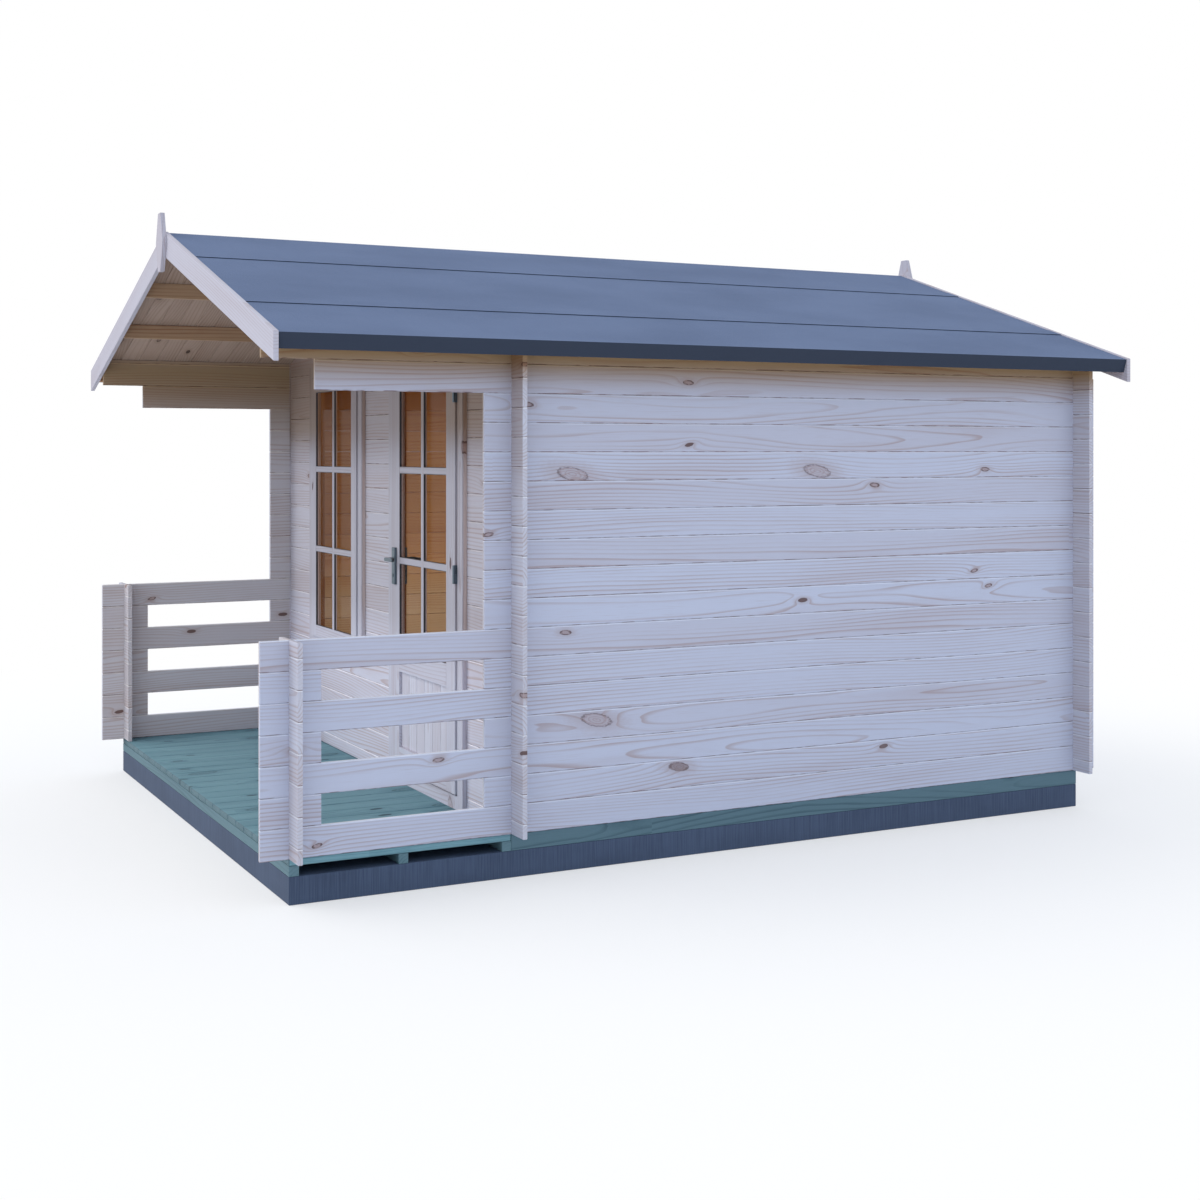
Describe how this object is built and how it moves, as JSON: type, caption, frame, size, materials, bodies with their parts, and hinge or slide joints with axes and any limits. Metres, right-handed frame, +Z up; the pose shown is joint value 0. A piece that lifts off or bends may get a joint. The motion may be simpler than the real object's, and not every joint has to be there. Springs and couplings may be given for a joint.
{
  "type": "log cabin",
  "caption": "Small gabled log cabin with interlocking corners, felted roof, railed front porch, window and half-glazed door that swings outwards, on a low plinth.",
  "frame": {"origin": "centre of the underside of the plinth, which is the middle of the bottom of the whole cabin", "axes": "+Z up, -Y out of the front with the porch and door, +X towards the long wall on the right as one faces out of the pictured side"},
  "size_m": [3.3022, 3.9786, 2.6461],
  "materials": {
    "log_timber": "planed, untreated softwood",
    "planed_timber": "planed softwood",
    "roof_timber": "sawn and planed softwood",
    "floor_timber": "planed softwood",
    "treated_timber": "green pressure-treated softwood",
    "roof_felt": "mineral-faced bitumen felt",
    "plinth": "cast, fine vertical streaks",
    "glass": "clear",
    "steel_fittings": "satin"
  },
  "bodies": {
    "cabin": {"base_plinth": "plinth", "floor_bearers": "treated_timber", "floor_boards": "floor_timber", "porch_joists": "treated_timber", "porch_deck": "treated_timber", "right_wall": "log_timber", "left_wall": "log_timber", "right_rail_blocks": "log_timber", "left_rail_blocks": "log_timber", "right_porch_corner": "log_timber", "left_porch_corner": "log_timber", "rear_wall": "log_timber", "rear_gable": "log_timber", "front_wall_left": "log_timber", "front_wall_below_window": "log_timber", "front_wall_middle": "log_timber", "front_wall_right": "log_timber", "front_gable": "log_timber", "roof_purlins": "roof_timber", "roof_boards_right": "roof_timber", "roof_boards_left": "roof_timber", "eave_battens": "roof_timber", "felt_right": "roof_felt", "felt_left": "roof_felt", "felt_ridge": "roof_felt", "front_barge_boards": "planed_timber", "rear_barge_boards": "planed_timber", "front_finial": "planed_timber", "rear_finial": "planed_timber", "window_frame": "planed_timber", "window_sash": "planed_timber", "window_glass": "glass", "door_frame": "planed_timber", "door_hinges_frame_side": "steel_fittings"},
    "door": {"door_leaf": "planed_timber", "door_panel": "planed_timber", "door_glass": "glass", "handle_plates": "steel_fittings", "door_hinges_leaf_side": "steel_fittings"},
    "lever": {"lever_handle": "steel_fittings"}
  },
  "joints": [
    {"name": "door_hinge", "type": "hinge", "parent": "cabin", "child": "door", "pos_m": [0.94175, -1.014, 0.228], "axis": [0, 0, 1], "range_deg": [0, 110]},
    {"name": "lever_turn", "type": "hinge", "parent": "door", "child": "lever", "pos_m": [0.249, -1.008, 1.147], "axis": [0, 1, 0], "range_deg": [0, 40], "stiffness_Nm_per_rad": 1.5, "springref_deg": -20.05}
  ]
}
